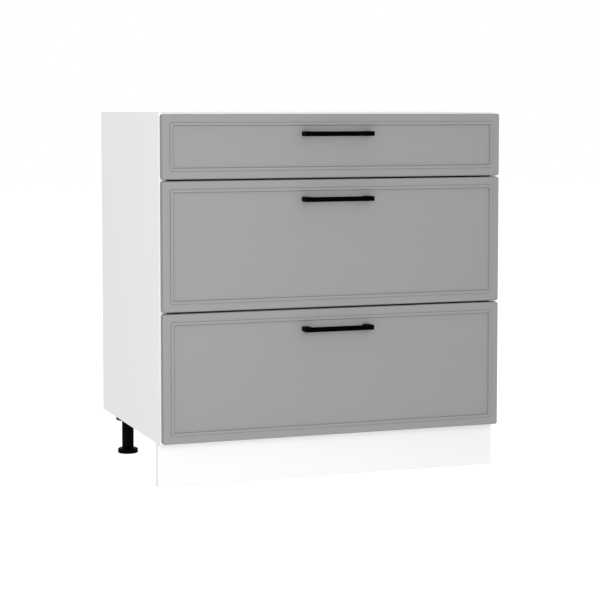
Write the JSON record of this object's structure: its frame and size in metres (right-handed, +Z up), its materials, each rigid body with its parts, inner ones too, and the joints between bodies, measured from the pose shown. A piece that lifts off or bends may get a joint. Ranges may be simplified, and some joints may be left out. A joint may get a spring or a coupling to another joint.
{
  "type": "base cabinet with drawers",
  "caption": "Kitchen base cabinet with stacked drawers: bead-framed fronts, black bar handles, ball-bearing slides, adjustable legs and a clip-on plinth.",
  "frame": {"origin": "on the floor under the middle of the whole cabinet's box, handles included", "axes": "+Z up, +X to the right of someone who faces the drawers, drawer fronts face -Y"},
  "size_m": [0.8, 0.568, 0.82],
  "materials": {
    "carcass_board": "white melamine-faced chipboard, satin, edges banded",
    "front_board": "light grey foil on milled fibreboard, faint horizontal grain, satin",
    "plinth_board": "white melamine-faced chipboard, satin",
    "hardboard": "hardboard, white lacquer on its inner face, plain brown fibre behind",
    "drawer_board": "white melamine-faced chipboard, satin",
    "handle_metal": "matt black powder coat",
    "leg_plastic": "black moulded plastic",
    "slide_steel": "bright zinc-plated pressed steel",
    "cage_steel": "zinc-plated strip with polished balls",
    "fastener_steel": "zinc-plated steel",
    "cam_zinc": "die-cast zinc, dull",
    "dowel_beech": "plain beech"
  },
  "bodies": {
    "carcass": {"side_panel_left": "carcass_board", "side_panel_right": "carcass_board", "bottom_panel": "carcass_board", "top_rails": "carcass_board", "back_panel": "hardboard", "cam_locks": "cam_zinc", "cam_bolts": "fastener_steel", "wooden_dowels": "dowel_beech", "leg_sockets": "leg_plastic", "leg_tubes": "leg_plastic", "chipboard_screws": "fastener_steel", "slide_outer_members": "slide_steel"},
    "foot_front_left": {"leg_foot_front_left": "leg_plastic"},
    "foot_front_right": {"leg_foot_front_right": "leg_plastic"},
    "foot_rear_left": {"leg_foot_rear_left": "leg_plastic"},
    "foot_rear_right": {"leg_foot_rear_right": "leg_plastic"},
    "plinth": {"plinth_board": "plinth_board", "plinth_clips": "leg_plastic"},
    "drawer_bottom": {"front_bottom": "front_board", "handle_bottom": "handle_metal", "handle_screws_bottom": "fastener_steel", "box_sides_bottom": "drawer_board", "box_front_bottom": "drawer_board", "box_back_bottom": "drawer_board", "box_bottom_bottom": "hardboard", "box_screws_bottom": "fastener_steel", "front_screws_bottom": "fastener_steel", "slide_inner_bottom": "slide_steel", "slide_inner_screws_bottom": "fastener_steel"},
    "intermediate_bottom": {"slide_intermediate_bottom": "slide_steel"},
    "outer_cages_bottom": {"ball_cages_outer_bottom": "cage_steel"},
    "inner_cages_bottom": {"ball_cages_inner_bottom": "cage_steel"},
    "drawer_middle": {"front_middle": "front_board", "handle_middle": "handle_metal", "handle_screws_middle": "fastener_steel", "box_sides_middle": "drawer_board", "box_front_middle": "drawer_board", "box_back_middle": "drawer_board", "box_bottom_middle": "hardboard", "box_screws_middle": "fastener_steel", "front_screws_middle": "fastener_steel", "slide_inner_middle": "slide_steel", "slide_inner_screws_middle": "fastener_steel"},
    "intermediate_middle": {"slide_intermediate_middle": "slide_steel"},
    "outer_cages_middle": {"ball_cages_outer_middle": "cage_steel"},
    "inner_cages_middle": {"ball_cages_inner_middle": "cage_steel"},
    "drawer_top": {"front_top": "front_board", "handle_top": "handle_metal", "handle_screws_top": "fastener_steel", "box_sides_top": "drawer_board", "box_front_top": "drawer_board", "box_back_top": "drawer_board", "box_bottom_top": "hardboard", "box_screws_top": "fastener_steel", "front_screws_top": "fastener_steel", "slide_inner_top": "slide_steel", "slide_inner_screws_top": "fastener_steel"},
    "intermediate_top": {"slide_intermediate_top": "slide_steel"},
    "outer_cages_top": {"ball_cages_outer_top": "cage_steel"},
    "inner_cages_top": {"ball_cages_inner_top": "cage_steel"}
  },
  "joints": [
    {"name": "foot_screw_front_left", "type": "slide", "parent": "carcass", "child": "foot_front_left", "axis": [0, 0, -1], "range_m": [0, 0.02]},
    {"name": "foot_screw_front_right", "type": "slide", "parent": "carcass", "child": "foot_front_right", "axis": [0, 0, -1], "range_m": [0, 0.02]},
    {"name": "foot_screw_rear_left", "type": "slide", "parent": "carcass", "child": "foot_rear_left", "axis": [0, 0, -1], "range_m": [0, 0.02]},
    {"name": "foot_screw_rear_right", "type": "slide", "parent": "carcass", "child": "foot_rear_right", "axis": [0, 0, -1], "range_m": [0, 0.02]},
    {"name": "plinth_pull", "type": "slide", "parent": "carcass", "child": "plinth", "axis": [0, -1, 0], "range_m": [0, 0.05]},
    {"name": "drawer_pull_bottom", "type": "slide", "parent": "carcass", "child": "drawer_bottom", "axis": [0, -1, 0], "range_m": [0, 0.45]},
    {"name": "intermediate_run_bottom", "type": "slide", "parent": "carcass", "child": "intermediate_bottom", "axis": [0, -1, 0], "range_m": [0, 0.225]},
    {"name": "outer_cages_run_bottom", "type": "slide", "parent": "carcass", "child": "outer_cages_bottom", "axis": [0, -1, 0], "range_m": [0, 0.1125]},
    {"name": "inner_cages_run_bottom", "type": "slide", "parent": "carcass", "child": "inner_cages_bottom", "axis": [0, -1, 0], "range_m": [0, 0.3375]},
    {"name": "drawer_pull_middle", "type": "slide", "parent": "carcass", "child": "drawer_middle", "axis": [0, -1, 0], "range_m": [0, 0.45]},
    {"name": "intermediate_run_middle", "type": "slide", "parent": "carcass", "child": "intermediate_middle", "axis": [0, -1, 0], "range_m": [0, 0.225]},
    {"name": "outer_cages_run_middle", "type": "slide", "parent": "carcass", "child": "outer_cages_middle", "axis": [0, -1, 0], "range_m": [0, 0.1125]},
    {"name": "inner_cages_run_middle", "type": "slide", "parent": "carcass", "child": "inner_cages_middle", "axis": [0, -1, 0], "range_m": [0, 0.3375]},
    {"name": "drawer_pull_top", "type": "slide", "parent": "carcass", "child": "drawer_top", "axis": [0, -1, 0], "range_m": [0, 0.45]},
    {"name": "intermediate_run_top", "type": "slide", "parent": "carcass", "child": "intermediate_top", "axis": [0, -1, 0], "range_m": [0, 0.225]},
    {"name": "outer_cages_run_top", "type": "slide", "parent": "carcass", "child": "outer_cages_top", "axis": [0, -1, 0], "range_m": [0, 0.1125]},
    {"name": "inner_cages_run_top", "type": "slide", "parent": "carcass", "child": "inner_cages_top", "axis": [0, -1, 0], "range_m": [0, 0.3375]}
  ],
  "couplings": [
    {"joint": "intermediate_run_bottom", "follows": "drawer_pull_bottom", "ratio": 0.5},
    {"joint": "outer_cages_run_bottom", "follows": "drawer_pull_bottom", "ratio": 0.25},
    {"joint": "inner_cages_run_bottom", "follows": "drawer_pull_bottom", "ratio": 0.75},
    {"joint": "intermediate_run_middle", "follows": "drawer_pull_middle", "ratio": 0.5},
    {"joint": "outer_cages_run_middle", "follows": "drawer_pull_middle", "ratio": 0.25},
    {"joint": "inner_cages_run_middle", "follows": "drawer_pull_middle", "ratio": 0.75},
    {"joint": "intermediate_run_top", "follows": "drawer_pull_top", "ratio": 0.5},
    {"joint": "outer_cages_run_top", "follows": "drawer_pull_top", "ratio": 0.25},
    {"joint": "inner_cages_run_top", "follows": "drawer_pull_top", "ratio": 0.75}
  ]
}
